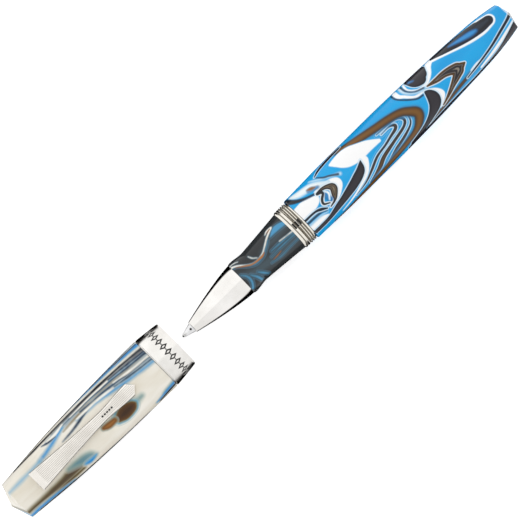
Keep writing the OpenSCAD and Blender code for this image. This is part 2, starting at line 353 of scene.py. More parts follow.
class Shader(Nodes):
    """A node material with one Principled shader."""

    def __init__(self, name, **values):
        self.material = bpy.data.materials.new(name)
        self.material.use_nodes = True
        super().__init__(self.material.node_tree)
        self.surface = next(n for n in self.tree.nodes if n.type == "BSDF_PRINCIPLED")
        for socket, value in values.items():
            self.surface.inputs[socket.replace("_", " ")].default_value = value
        self.where = self.add("TexCoord", {}).outputs["Object"]

    def link(self, socket_name, value):
        """Links an input of the Principled shader."""
        self.tree.links.new(value, self.surface.inputs[socket_name])

    def noise(self, scale, detail=2.0, stretch=(1, 1, 1), roughness=0.5):
        """Noise in 0 to 1, with scale in ridges per millimetre."""
        at = self.add("Mapping", {"Vector": self.where, "Scale": [s * scale / MM for s in stretch]})
        return self.add("TexNoise", {"Vector": at.outputs[0], "Scale": 1.0, "Detail": detail,
                                     "Roughness": roughness}).outputs["Fac"]

    def mix(self, factor, a, b):
        """Colour a blended into colour b."""
        return self.add("Mix", {0: factor, 6: a, 7: b}, data_type="RGBA").outputs[2]

    def stored(self, name):
        """A number that store kept on the piece's points."""
        return self.add("Attribute", {}, attribute_name=name).outputs["Fac"]

    def ramp(self, value, stops):
        """Colour ramp whose stops are (position, colour, alpha)."""
        made = self.add("ValToRGB", {"Fac": value})
        elements = made.color_ramp.elements
        while len(elements) < len(stops):
            elements.new(0.5)
        for element, (position, _, _) in zip(elements, stops):
            element.position = position
        for element, (_, colour, alpha) in zip(elements, stops):
            element.color = linear(colour)[:3] + [alpha]
        return made

    def bump(self, height, depth):
        """Bump of a height from 0 to 1 that stands for depth millimetres."""
        made = self.add("Bump", {"Height": height, "Distance": depth * MM, "Strength": 1.0})
        self.link("Normal", made.outputs[0])


REACH = 3.0                      # a layer's ramp runs from this far inside a stroke to this far outside


def resin(name, base, layers, roughness=0.1, sway=0.25, sway_scale=0.25):
    """Polished cast resin: a base colour with painted layers over it.

    base is (colour, second colour) that drift into each other. layers lists (attribute, stops), each stop
    (distance from the stroke's edge, colour, alpha).
    """
    shader = Shader(name, IOR=1.5, Specular_IOR_Level=0.3)
    drift = shader.noise(0.12, 3.0, (0.5, 1.6, 1.6))
    colour = shader.mix(shader.between(drift, 0.35, 0.65), linear(base[0]), linear(base[1]))
    wander = shader.math("MULTIPLY_ADD", shader.noise(sway_scale, 3.0), 2 * sway, -sway)
    for attribute, stops in layers:
        distance = shader.math("ADD", shader.stored(attribute), wander)
        scaled = shader.between(distance, -REACH, REACH)
        ramp = shader.ramp(scaled, [((d + REACH) / (2 * REACH), c, a) for d, c, a in stops])
        colour = shader.mix(ramp.outputs["Alpha"], colour, ramp.outputs["Color"])
    shader.link("Base Color", colour)
    wear = shader.noise(1.5, 4.0)
    shader.link("Roughness", shader.between(wear, 0.3, 0.7, roughness * 0.7, roughness * 1.3))
    shader.bump(shader.noise(0.9, 5.0), 0.004)
    return shader.material


def metal(name, colour, roughness, lines=(1, 1, 1), line_scale=4.0, depth=0.003, tint="b8b2a8", tinted=0.25,
          inlays=()):
    """Turned, ground or drawn metal; lines gives how its fine marks are stretched along X, Y and Z.

    inlays lists (stored distance, colour, amount): where the distance is negative the metal is darkened
    or filled with that colour, and amount 1 covers it.
    """
    shader = Shader(name, Metallic=1.0)
    marks = shader.noise(line_scale, 5.0, lines, 0.6)
    smudge = shader.noise(0.15, 3.0)
    patch = shader.between(smudge, 0.35, 0.7, 0.0, tinted)
    tone = shader.mix(patch, linear(colour), linear(tint))
    worn = shader.math("MULTIPLY", shader.between(smudge, 0.3, 0.7, 0.7, 1.5), roughness)
    rough = shader.math("MULTIPLY_ADD", marks, roughness * 0.5, worn)
    metallic = None
    for attribute, inlay_colour, amount in inlays:
        worn_edge = shader.math("MULTIPLY_ADD", shader.noise(2.5, 3.0), 0.08, -0.04)
        distance = shader.math("ADD", shader.stored(attribute), worn_edge)
        filled = shader.between(distance, -0.05, 0.03, amount, 0.0)
        tone = shader.mix(filled, tone, linear(inlay_colour))
        rough = shader.math("MULTIPLY_ADD", filled, 0.4, rough)
        if amount == 1.0:
            metallic = shader.math("SUBTRACT", 1.0, filled)
    if metallic:
        shader.link("Metallic", metallic)
    shader.link("Base Color", tone)
    shader.link("Roughness", rough)
    shader.bump(marks, depth)
    return shader.material


def plastic(name, colour, second, roughness, grain=3.0, depth=0.006):
    """Moulded plastic with a fine grain and a faint drift in its colour."""
    shader = Shader(name, IOR=1.47)
    cloud = shader.between(shader.noise(0.2, 3.0), 0.3, 0.7)
    shader.link("Base Color", shader.mix(cloud, linear(colour), linear(second)))
    wear = shader.noise(1.0, 4.0)
    shader.link("Roughness", shader.between(wear, 0.3, 0.7, roughness * 0.8, roughness * 1.2))
    shader.bump(shader.noise(grain, 4.0), depth)
    return shader.material


def fibre(name, colour, second):
    """Bundled fibres that run along the pen, soaked in ink."""
    shader = Shader(name, Sheen_Weight=0.3)
    strands = shader.noise(3.0, 4.0, (0.05, 1, 1), 0.7)
    shader.link("Base Color", shader.mix(shader.between(strands, 0.35, 0.65), linear(colour), linear(second)))
    shader.link("Roughness", shader.between(strands, 0.3, 0.7, 0.55, 0.85))
    shader.bump(strands, 0.06)
    return shader.material


# ------------ the barrel's swirls
# Distances are from the mouth towards the tail, and angles from the top towards +Y.
BARREL_LENGTH = TAIL_APEX - MOUTH_X
BARREL_LAYERS = {
    "brown": [
        [(17, 95, 0.8), (20, 63, 1), (24, 47, 1.2), (30.5, 32, 1.1), (36, 23, 1), (39.5, 14, 1),
         (41.5, 2, 1.1), (43, -14, 1.3), (42, -30, 1.2), (39.5, -44, 1), (35, -52, 0.9), (29, -60, 0.9),
         (23, -68, 0.9), (16, -76, 0.9), (7, -84, 0.7)],
        [(67, -39, 0.1), (62, -42, 0.35), (56, -47, 0.45), (48, -56, 0.5), (40, -62, 0.5)],
    ],
    "lines": [
        [(31.5, 9, 0.05), (34.5, 9, 0.15), (36, 3, 0.4), (35.5, -4, 0.4), (33, -9, 0.3), (30.5, -14, 0.25),
         (26.5, -20, 0.3), (23, -34, 0.35), (19.5, -48, 0.25), (15.5, -56, 0.1)],
        [(30.5, 16, 0.05), (35.5, 14, 0.2), (38, 9, 0.3), (39, -3, 0.35), (37.5, -14, 0.35), (32.5, -23, 0.4),
         (28, -32, 0.6), (25, -46, 0.7), (21, -60, 0.5)],
        [(40, 8, 0.05), (40.5, -4, 0.15), (39.5, -20, 0.2), (36, -32, 0.4), (32, -41, 0.5), (28.5, -54, 0.5),
         (25, -66, 0.3)],
    ],
    "white": [
        [(-1, 11, 1.9), (3, 11, 2.1), (5.5, 9, 1.4), (7, 11, 0.4)],
        [(-1, -34, 0.8), (3.5, -34, 0.8), (6, -38, 0.2)],
        [(16, 45, 0.4), (18, 38, 1.7), (20.5, 29, 2.9), (23.5, 20, 2.4), (27, 12, 1.4), (30, 3, 0.4)],
        [(23, -4, 1.4), (22.5, -14, 1.1), (21, -30, 0.7), (18, -43, 0.35), (14, -55, 0.2), (10, -63, 0.1)],
        [(7.5, 21, 0.3), (10.5, 21, 0.45), (13.5, 11, 0.7), (14, -1, 0.8), (12.5, -14, 0.6),
         (10.5, -25, 0.35)],
        [(42.5, 70, 0.7), (42.5, 48, 0.6), (43.5, 36, 0.45), (45.5, 16, 0.35), (48.5, 11, 0.3), (50, 2, 0.4),
         (51, -12, 0.9), (51.5, -24, 0.8), (50.5, -38, 0.3), (49, -48, 0.15)],
        [(46, 72, 0.25), (45.5, 45, 0.25), (47, 26, 0.25), (49, 20, 0.3), (51, 22, 0.35), (53, 34, 0.5),
         (54, 52, 1), (56, 68, 0.9)],
        [(55, 68, 0.8), (60.5, 54, 1.7), (66.5, 42, 2.5), (71.5, 36, 2.8), (75, 33, 2.1)],
        [(82, -28, 0.5), (77, -38, 0.5), (71, -48, 0.45), (65, -56, 0.3)],
        [(62, -36, 0.1), (64.5, -35, 0.3), (67, -36, 0.1)],
    ],
    "pale": [
        [(2, 64, 0.9), (4, 52, 1.4), (7, 43, 1.4), (9.5, 32, 1), (12, 18, 0.4)],
        [(8.5, 56, 0.2), (10.5, 40, 0.3), (13, 26, 0.3), (16, 12, 0.45)],
        [(-1, -14, 0.2), (4, -16, 0.2), (6, -22, 0.15)],
        [(-1, -24, 0.2), (4, -26, 0.2), (6.5, -31, 0.15)],
        [(44.5, 70, 0.6), (44.5, 42, 0.45), (46.5, 22, 0.35), (49, 15, 0.25), (51, 12, 0.1)],
    ],
    "navy": [
        [(41.5, 72, 0.2), (41.5, 48, 0.15), (43, 28, 0.15), (45.5, 10, 0.15), (47.5, 6, 0.15)],
        [(45, 72, 0.15), (45, 44, 0.15), (46.5, 26, 0.1), (49, 17, 0.1)],
        [(10.5, 50, 0.05), (12, 34, 0.15), (13.5, 26, 0.15), (15.5, 14, 0.2)],
        [(0, 72, 1), (1, 52, 0.8), (2.5, 38, 0.5), (4.5, 28, 0.3), (7, 20, 0.2)],
        [(-1, -18, 0.2), (4.5, -20, 0.2), (6.5, -27, 0.1)],
    ],
    "slate": [
        [(-1, -50, 0.7), (3, -50, 0.7), (6, -48, 0.7), (9.5, -41, 0.95), (13.5, -34, 1.2), (17, -27, 1.4),
         (20.5, -16, 1.2), (22.5, 1, 0.05)],
        [(-1, -9, 0.25), (3.5, -10, 0.25), (5.5, -16, 0.35), (7, -24, 0.15)],
        [(10.5, 53, 0.1), (13, 63, 0.5), (17, 69, 0.7), (21, 70, 0.5)],
        [(48.5, 7, 0.3), (49, -4, 1.2), (49, -18, 1.8), (48, -32, 1.7), (45.5, -46, 1.2), (42, -58, 0.9),
         (37, -68, 0.7)],
        [(48.5, 70, 2), (49, 48, 2.1), (50, 40, 1.8)],
        [(51, 50, 2), (51.5, 66, 2.2)],
        [(82, 6, 0.35), (79.5, -8, 0.35), (76, -18, 0.35), (71, -30, 0.3), (66, -38, 0.25), (60, -45, 0.15)],
        [(82, -48, 1.6), (76, -60, 1.2), (70, -70, 0.9), (62, -72, 0.7), (54, -70, 0.8), (46, -74, 1),
         (36, -78, 1)],
    ],
    "tear": [
        [(56.5, 68, 0.3), (60.5, 54, 1), (66.5, 42, 1.8), (71.5, 36, 2.1), (75, 33, 1.6)],
        [(57, 74, 0.8), (62, 66, 1.4), (67, 58, 1.4), (71.5, 50, 1.2)],
    ],
    "eye": [
        [(7.5, 17, 0.2), (9.5, 16, 0.4), (11, 11, 0.6), (12, 1, 1), (11, -12, 0.8), (10, -22, 0.3),
         (8, -27, 0.15)],
        [(7.5, 15, 0.25), (9, 9, 0.25), (7.5, -1, 0.3), (7, -11, 0.25), (8.5, -19, 0.15)],
    ],
    "hook": [
        [(50, 14, 0.1), (53, 9, 0.6), (56, 6, 0.9), (58.5, -2, 1.3), (59.5, -9, 1.5), (58, -18, 1.1),
         (55.5, -28, 0.7), (52.5, -40, 0.4), (50, -49, 0.15)],
        [(59.5, -8, 1.4), (62, -9, 0.15)],
    ],
    "blue": [
        [(9.5, 2, 0.3), (9, -6, 0.45), (9.5, -14, 0.4)],
        [(62.5, 56, 0.3), (66, 45, 0.8), (69, 37, 0.9), (70.5, 33, 0.5)],
        [(47.5, 60, 0.35), (48.5, 53, 0.15)],
        [(6.5, 36, 0.25), (9, 27, 0.25)],
    ],
    "glint": [[(9.5, 9, 0.1), (10, -1, 0.2), (9, -13, 0.1)]],
    "streak": [[(6.5, 41, 0.1), (7.5, 36, 0.4), (8.5, 31, 0.1)]],
}
SKY = "1eaaea"
BARREL_LOOKS = [
    ("lines", [(-0.6, "5c4224", 1), (-0.3, "4a3a2a", 1), (-0.08, "24252a", 1), (0.06, "5f8cae", 1),
               (0.18, "e8f4fa", 1), (0.32, "9cd0f0", 0.8), (0.5, SKY, 0.2), (0.62, "2c5a86", 0.35),
               (0.74, "b8dcf2", 0.3), (0.95, SKY, 0)]),
    ("brown", [(-1, "7a5424", 1), (-0.5, "6a4722", 1), (-0.15, "4c3a28", 1), (0.1, "3a4a58", 1),
               (0.5, "3c86b8", 0.6), (1.2, SKY, 0)]),
    ("white", [(-0.12, "ffffff", 1), (0.02, "e4f2fa", 1), (0.14, "8cc8f0", 0.8), (0.4, SKY, 0)]),
    ("pale", [(-0.9, "f2f8fa", 1), (-0.3, "d4eaf6", 0.9), (0.0, "a4d2ee", 0.7), (0.5, SKY, 0)]),
    ("navy", [(-0.3, "22262e", 1), (0.05, "16304e", 0.85), (0.4, SKY, 0)]),
    ("slate", [(-0.9, "322f35", 1), (-0.3, "262329", 1), (0.0, "1b2532", 1), (0.1, "93c0de", 0.9),
               (0.22, "f8fcfd", 0.9), (0.38, "8ccaf0", 0.4), (0.6, SKY, 0)]),
    ("tear", [(-1.6, "2c3440", 1), (-0.9, "1d2027", 1), (-0.3, "232128", 1), (0.0, "16304e", 1),
              (0.15, "e4f0f6", 0.6), (0.3, "ffffff", 0)]),
    ("eye", [(-0.9, "8a7a60", 1), (-0.7, "3c3834", 1), (-0.5, "6c5c46", 1), (-0.3, "4c4236", 1),
             (-0.2, "24252a", 1), (0.0, "22262e", 1), (0.12, "dce8ee", 1), (0.3, "f6fafc", 0.8),
             (0.5, SKY, 0)]),
    ("hook", [(-1.3, "8a8276", 1), (-1.1, "2a2a2e", 1), (-0.7, "302c2c", 1), (-0.5, "77706a", 1),
              (-0.4, "2c2828", 1), (-0.2, "5a3e20", 1), (0.0, "604018", 1), (0.08, "3a3430", 1),
              (0.18, "dce8ee", 1), (0.34, "f6fafc", 0.7), (0.55, SKY, 0)]),
    ("blue", [(-0.5, "3a90d2", 1), (0.0, "2a6ca8", 0.8), (0.6, "203a58", 0)]),
    ("glint", [(-0.1, "ffffff", 1), (0.12, "bcdcf0", 0.8), (0.3, SKY, 0)]),
    ("streak", [(-0.2, "8c6038", 1), (0.1, "8c7468", 0.8), (0.5, SKY, 0)]),
]

# ------------ the cap's clouds
# Distances are from the metal band towards the crown.
CAP_LENGTH = BAND_X - APEX_X
CAP_LAYERS = {
    "haze": [
        [(36, 52, 0.4), (30, 48, 1.2), (22, 45, 1.8), (14, 38, 2.2), (6, 30, 2.4), (-1, 24, 2.6)],
    ],
    "olive": [
        [(56, -47, 0.5), (52, -46, 0.7), (47, -45, 0.9), (40, -44, 1.3), (36, -42, 1.6), (33, -42, 1.4)],
        [(48, -60, 0.4), (40, -58, 0.8), (34, -58, 0.6)],
    ],
    "teal": [
        [(37, -30, 0.4), (34, -34, 1.1), (31, -42, 1.7), (29.5, -50, 1)],
        [(12, -26, 1), (9, -25, 0.5)],
        [(20, -24, 0.3), (18, -16, 0.5)],
        [(4, -58, 0.2), (-1, -52, 0.4)],
    ],
    "blue": [
        [(41, 28, 0.3), (37, 33, 0.4), (33, 41, 0.5), (30.5, 47, 0.3)],
        [(26, 32, 0.05), (21, 30, 0.2), (17, 27, 0.3), (12, 19, 0.25), (6, 12, 0.2), (-1, 6, 0.2)],
        [(28, 82, 0.4), (18, 76, 0.9), (8, 70, 1.1), (-1, 62, 1.1)],
        [(20, 44, 0.05), (10, 40, 0.2), (3, 32, 0.2), (-1, 28, 0.2)],
        [(53.5, -65, 0.4), (50, -64, 0.7), (44, -66, 0.5), (38, -70, 0.2)],
        [(32.5, -52, 0.4), (31, -55, 0.7), (29, -52, 0.2)],
        [(7, -68, 0.3), (3, -62, 0.6), (-1, -58, 0.7)],
    ],
    "faint": [
        [(53, 30, 0.3), (50, 29, 0.5), (46, 28, 0.5), (41, 28, 0.4)],
    ],
    "tan": [
        [(31, 36, 0.1), (27, 38, 0.3), (22, 37, 0.3), (17, 33, 0.1)],
        [(24, 44, 0.1), (14, 38, 0.25), (6, 32, 0.3), (-1, 28, 0.2)],
        [(12, 47, 0.1), (5, 39, 0.2), (-1, 36, 0.3)],
        [(30, 57, 0.1), (20, 55, 0.2), (10, 52, 0.2), (2, 44, 0.1)],
        [(8, 70, 0.5), (5, 72, 0.3), (2, 68, 0.3)],
    ],
    "navy": [
        [(38, 53, 0.05), (36, 46, 0.3), (33.5, 43, 0.1)],
        [(33, 21, 0.05), (30, 22, 0.2), (27, 25, 0.3), (24, 29, 0.15), (21, 33, 0.05)],
        [(34, 57, 0.05), (26, 55, 0.15), (16, 51, 0.15), (8, 44, 0.2), (-1, 38, 0.2)],
        [(30, 49, 0.05), (22, 47, 0.1), (14, 42, 0.15), (6, 34, 0.2), (-1, 29, 0.2)],
        [(20, 51, 0.05), (12, 46, 0.15), (5, 39, 0.2), (-1, 34, 0.2)],
        [(24, 40, 0.05), (16, 34, 0.15), (8, 25, 0.15), (-1, 18, 0.15)],
        [(14, 27, 0.05), (7, 18, 0.1), (-1, 11, 0.1)],
        [(18, 76, 0.05), (10, 72, 0.2), (-1, 66, 0.2)],
    ],
    "milk": [
        [(36, 51, 0.1), (33, 48, 0.4), (30, 53, 0.2)],
        [(27, 51, 0.05), (20, 50, 0.15), (13, 46, 0.1)],
        [(26, 34, 0.05), (19, 31, 0.2), (13, 25, 0.05)],
        [(12, 33, 0.05), (6, 25, 0.15), (-1, 20, 0.1)],
    ],
    "dark": [
        [(48, 76, 0.15), (42, 68, 0.3), (36, 64, 0.3), (26, 60, 0.25), (17, 56, 0.2), (8, 50, 0.2),
         (-1, 42, 0.2)],
        # This stroke and the next run along the cap's outline as seen from above: painted shade at its edges.
        [(50, 84, 0.2), (38, 82, 0.3), (24, 80, 0.35), (12, 82, 0.3), (-1, 84, 0.3)],
        [(50, -72, 0.2), (44, -75, 0.4), (36, -78, 0.5), (24, -80, 0.5), (11, -82, 0.4)],
        [(6, -74, 0.2), (2, -68, 0.3), (-1, -66, 0.3)],
    ],
    "oval": [[(17.5, -26, 1.1), (15.5, -26, 1.9), (13.5, -26, 1.6), (12, -26, 0.5)]],
    "lobe": [[(22.5, -18, 0.5), (21, -21, 0.9), (19, -22, 0.7)]],
}
CREAM = "e9e3d5"
CAP_LOOKS = [
    ("haze", [(-1.6, "78909e", 0.95), (-0.4, "94a6b0", 0.85), (0.3, "bcc4c4", 0.5), (1.2, CREAM, 0)]),
    ("olive", [(-1.4, "46361f", 1), (-0.6, "5c4c30", 1), (-0.1, "7c7250", 0.9), (0.4, "a4a088", 0.6),
               (1.2, CREAM, 0)]),
    ("teal", [(-0.9, "648e98", 0.95), (-0.2, "86a4a0", 0.8), (0.5, "b0c0b8", 0.4), (1.2, CREAM, 0)]),
    ("blue", [(-0.5, "2c8cd4", 1), (0.0, "5ca2cc", 0.85), (0.5, "9cb8c4", 0.5), (1.1, CREAM, 0)]),
    ("faint", [(-0.4, "86b8d4", 0.8), (0.2, "b0c8d0", 0.5), (0.9, CREAM, 0)]),
    ("tan", [(-0.3, "84714c", 0.9), (0.1, "a4967a", 0.55), (0.5, CREAM, 0)]),
    ("navy", [(-0.2, "1c2c44", 1), (0.05, "40586e", 0.85), (0.3, "8496a0", 0.35), (0.6, CREAM, 0)]),
    ("milk", [(-0.1, "f6f3ea", 0.95), (0.15, "ece8dc", 0.6), (0.4, CREAM, 0)]),
    # Near-black: dark lines in the resin, and the painted shade along the cap's edges.
    ("dark", [(-0.2, "141a22", 1), (0.1, "343c46", 0.9), (0.45, "8a8276", 0.4), (0.8, CREAM, 0)]),
    ("oval", [(-1.6, "3c240c", 1), (-0.5, "54340f", 1), (-0.1, "6a4c22", 1), (0.2, "75806c", 0.9),
              (0.45, "5c9cb4", 0.9), (0.8, "8cb8c4", 0.6), (1.0, "9cc4cc", 0.2), (1.2, "8cacb4", 0.5),
              (1.5, CREAM, 0)]),
    ("lobe", [(-0.8, "9c6426", 1), (-0.3, "7c4c1c", 1), (0.0, "8c6c40", 0.9), (0.3, "8c9c90", 0.7),
              (0.8, CREAM, 0)]),
]

# ------------ the grip's wisps
# Distances are from the cone's back towards the barrel.
GRIP_LENGTH = COLLAR_X - GRIP_X
GRIP_LAYERS = {
    "haze": [
        [(0, 10, 0.8), (4, -14, 1.5), (9, -24, 1.8), (14, -28, 1.8), (20, -24, 1.6)],
        [(9, 14, 0.5), (14, 14, 1), (20, 18, 1.2)],
    ],
    "blue": [
        [(13.5, 27, 0.2), (15.5, 32, 0.9), (17, 31, 1), (20, 22, 0.5)],
        [(0.5, 8, 0.15), (1.5, -8, 0.3), (1.5, -28, 0.35), (0.5, -50, 0.4)],
        [(2.5, -12, 0.15), (3.5, -32, 0.35), (4, -54, 0.4)],
        [(4.5, -22, 0.15), (5.5, -38, 0.35), (6.5, -56, 0.3)],
        [(-0.5, 50, 0.2), (1.5, 35, 0.2), (4, 11, 0.2), (6, 1, 0.25), (8.5, 3, 0.25), (10.5, 13, 0.2),
         (12.5, 26, 0.2)],
        [(11, -4, 0.1), (14, -5, 0.2), (20, -9, 0.2)],
        [(10, -16, 0.05), (14, -14, 0.15), (20, -15, 0.15)],
        [(9, -32, 0.05), (12, -36, 0.15), (16, -32, 0.1), (20, -30, 0.1)],
    ],
    "wisps_and_glint": [
        [(-0.5, 54, 0.25), (1.5, 39, 0.2), (4, 15, 0.15), (6, 6, 0.15), (8.5, 8, 0.15), (10.5, 19, 0.15),
         (12.5, 32, 0.2), (14.5, 42, 0.3), (15.5, 47, 0.25), (14, 50, 0.2), (13, 45, 0.1)],
        [(5.5, 38, 0.05), (6, 23, 0.1), (7, 12, 0.05)],
        # This stroke is a painted highlight: a thin white glint along the top of the grip.
        [(14.5, 0, 0.05), (17, -3, 0.1), (20, -6, 0.1)],
        [(-0.5, 62, 0.1), (1.5, 56, 0.1), (2.5, 50, 0.05)],
    ],
    "amber": [
        [(1, 36, 0.05), (3, 21, 0.15), (5, 8, 0.15), (8, 4, 0.2), (9.5, 8, 0.05)],
        [(13.5, 43, 0.05), (14.5, 46, 0.1), (15, 47, 0.05)],
        [(10, -27, 0.05), (11.5, -26, 0.1), (13, -23, 0.05)],
    ],
}
COAL = "36383a"
GRIP_LOOKS = [
    ("haze", [(-1.2, "46565e", 0.9), (0.0, "3c484e", 0.5), (1.2, COAL, 0)]),
    ("blue", [(-0.35, "4e98c4", 1), (-0.1, "467c98", 0.9), (0.2, "3c5a6a", 0.6), (0.35, "56809a", 0.5),
              (0.7, COAL, 0)]),
    # White wisps in the resin, and the painted highlight along the grip's top.
    ("wisps_and_glint", [(-0.15, "f4efe4", 1), (0.02, "c8ccc8", 0.9), (0.2, "5f7c8c", 0.5), (0.5, COAL, 0)]),
    ("amber", [(-0.12, "b8743c", 1), (0.05, "80583a", 0.8), (0.25, "40404a", 0)]),
]


# ------------ cap pieces
THROAT_R = 6.6                   # the cap's bore behind the bush
CROWN_CAVITY_R = 5.4             # the bore where the clip's foot is held
LINER_SHOULDER = (38.9, 41)      # where the bore narrows behind the inner cap
CAP_FACETS_FROM = 34.0
CAP_BACK = 44                    # the strokes on the cap's back run from here towards the band


def build_cap_resin():
    """The cap's resin, bored for its bush, inner cap and retainer, with a slot for the clip's leg."""
    bush_depth = BAND_X - span("cap_bush")[0]
    _, liner_mouth, liner_r = span("inner_cap")
    liner_depth = BAND_X - liner_mouth
    liner_r += GAP
    cavity = BAND_X - span("clip_retainer")[0]
    slot = (BAND_X - CLIP_X - 1.25, BAND_X - CLIP_X + 0.25, 22)
    bore = [(0, BUSH_R), (bush_depth, BUSH_R), (bush_depth, THROAT_R), (liner_depth, THROAT_R),
            (liner_depth, liner_r), (LINER_SHOULDER[0], liner_r)]
    bore += [(t, CROWN_CAVITY_R) for t in (LINER_SHOULDER[1], slot[0], slot[1], cavity)]
    bore += [(cavity, 0.5)]
    looks = resin("cap_resin", ("f4f0e6", "e6dfcf"), CAP_LOOKS, sway=0.25, sway_scale=0.25)
    length = CAP_LENGTH - CROWN_POINT
    cap = pointed_shell("cap_resin", BAND_X, -1, cap_r, length, CROWN_POINT, CROWN_R, bore, CAP_FACETS_FROM,
                        looks, slot)
    paint(cap, BAND_X, -1, CAP_LAYERS, CAP_BACK)
    place(cap, "cap", "cap_resin", "cap_shell")


ORNAMENT_X = LIP_X - 3.3
ORNAMENTS = 26                   # lozenges round the band
BAND_INSIDE_R = 7.1
BAND_SKIN_R = 7.2                # all beyond this radius is the band's outer skin
INK_AND_HOLE_SHADE = "0c0b0b"                   # the black in engraved marks, and the painted shade in the refill point's vent hole


def ornament(x, r, angles):
    """Distance to a chain of open lozenges and dots round the band, negative inside their lines."""
    pitch = 2 * math.pi * r / ORNAMENTS
    turn = angles * ORNAMENTS / (2 * np.pi)
    across = np.abs((turn + 0.5) % 1 - 0.5) * pitch
    along = np.abs(x - ORNAMENT_X)
    lozenge = (along / 1.4 + across / 0.76 - 1) * 0.6
    opening = (along / 0.6 + across / 0.26 - 1) * 0.28
    dot = np.hypot(along, pitch / 2 - across) - 0.2
    return np.minimum(np.maximum(lozenge, -opening), dot)


def build_lip_band():
    """The metal band at the cap's lip, engraved with its ornament."""
    rows = [(LIP_X - 0.22, LIP_R - 0.02), (LIP_X - 0.06, LIP_R - 0.14), (LIP_X, LIP_R - 0.34),
            (LIP_X - 0.02, 6.86), (LIP_X - 0.12, 6.76), (LIP_X - 0.5, 6.75), (LIP_X - 0.5, BAND_INSIDE_R),
            (BAND_X + 0.02, BAND_INSIDE_R), (BAND_X + 0.02, CAP_R - 0.22), (BAND_X + 0.2, CAP_R - 0.2)]
    rows += [(BAND_X + t, float(band_r(t))) for t in np.linspace(0.3, LIP_X - BAND_X - 0.45, 66)]

    def engraved(x, r, angles):
        if abs(x[0] - ORNAMENT_X) < 1.6 and r[0] > BAND_SKIN_R:
            r = sunk(r, ornament(x, r, angles), 0.06)
        return x, r

    looks = metal("band_metal", "f4f2ee", 0.13, (3, 1, 1), 3.0, 0.002, inlays=[("ornament", INK_AND_HOLE_SHADE, 1.0)])
    band = turned("cap_lip_band", rows, looks, 18 * ORNAMENTS, engraved)
    x, radius, angles = polar(band)
    store(band, "ornament", np.where(radius > BAND_SKIN_R, ornament(x, radius, angles), 1.0))
    place(band, "cap", "polished_metal", "cap_band")


def screw_thread(pitch, depth, phase=0.0):
    """A shape function that lifts the rows of a profile into a helical thread."""
    def shape(x, r, angles):
        wave = np.cos(2 * np.pi * (x / pitch - angles / (2 * np.pi) + phase))
        return x, r + depth * np.clip(wave * 1.3, -1, 1)
    return shape


def build_thread_bush(look):
    """The bush in the cap's lip, with the thread that takes the ring's."""
    start, end, outer = span("cap_bush")
    thread_from = end - 4.6
    bore_r, thread_r = 6.7, 6.82
    rows = [(start, outer), (start, bore_r + 0.2), (start + 0.2, bore_r), (thread_from - 0.3, bore_r)]
    rows += [(x, thread_r) for x in np.linspace(thread_from, end - 0.5, 44)]
    rows += [(end - 0.1, 6.95), (end, 7.0), (end, outer)]
    thread = screw_thread(RING_PITCH, 0.11)

    def shape(x, r, angles):
        return thread(x, r, angles) if r[0] == thread_r else (x, r)

    bush = turned("cap_thread_bush", rows, look, 120, shape)
    place(bush, "cap", "inner_metal", "cap_bush")


# ------------ clip
CLIP_X = CLIP_FOOT + 2.1         # where the blade starts
CLIP_WAIST = CLIP_X + 24.9
CLIP_SHOULDER = CLIP_END - 1.9
CLIP_T = 0.8
WAIST_HALF_WIDTH = 1.5


def clip_half(x):
    """Half the width of the clip's blade."""
    if x < CLIP_WAIST:
        return WAIST_HALF_WIDTH + 1.6 * ((CLIP_WAIST - x) / (CLIP_WAIST - CLIP_X)) ** 1.35
    if x < CLIP_SHOULDER:
        return WAIST_HALF_WIDTH + 0.6 * float(ease((x - CLIP_WAIST) / (CLIP_SHOULDER - CLIP_WAIST)))
    return 2.1 * (CLIP_END - x) / (CLIP_END - CLIP_SHOULDER)


def clip_top(x):
    """Height of the clip's top face on its centre line."""
    k = (x - CLIP_X) / (CLIP_END - CLIP_X)
    return 9.39 + 0.7 * math.sin(math.pi * k) - 0.15 * k


def box_points(low, high):
    """Corners and faces of a plain box."""
    points = [(x, y, z) for x in (low[0], high[0]) for y in (low[1], high[1]) for z in (low[2], high[2])]
    faces = [(0, 1, 3, 2), (4, 6, 7, 5), (0, 4, 5, 1), (2, 3, 7, 6), (0, 2, 6, 4), (1, 5, 7, 3)]
    return points, faces


GROOVE_PITCH = 0.45
MARKS = 5                        # dashes in the row on the clip
CLIP_PLAIN = 2.0                 # length without grooves at the blade's root


def groove_distance(x, y):
    """Distance to the clip's lengthwise engraved lines, negative inside a line."""
    line = np.abs(y / GROOVE_PITCH - np.round(y / GROOVE_PITCH)) * GROOVE_PITCH - 0.07
    inset = np.abs(y) - (clip_half(x) - 0.45)
    return max(line, inset, CLIP_X + CLIP_PLAIN - x)


def mark_distance(x, y):
    """Distance to the short row of dashes on the clip's centre line, negative inside a dash."""
    length = CLIP_END - CLIP_X
    start, pitch = CLIP_X + 0.66 * length, 0.115 * length / MARKS
    k = min(max(round((x - start) / pitch - 0.5), 0), MARKS - 1)
    along = abs(x - (start + (k + 0.5) * pitch)) - 0.36 * pitch
    return max(along, abs(y) - 0.25)


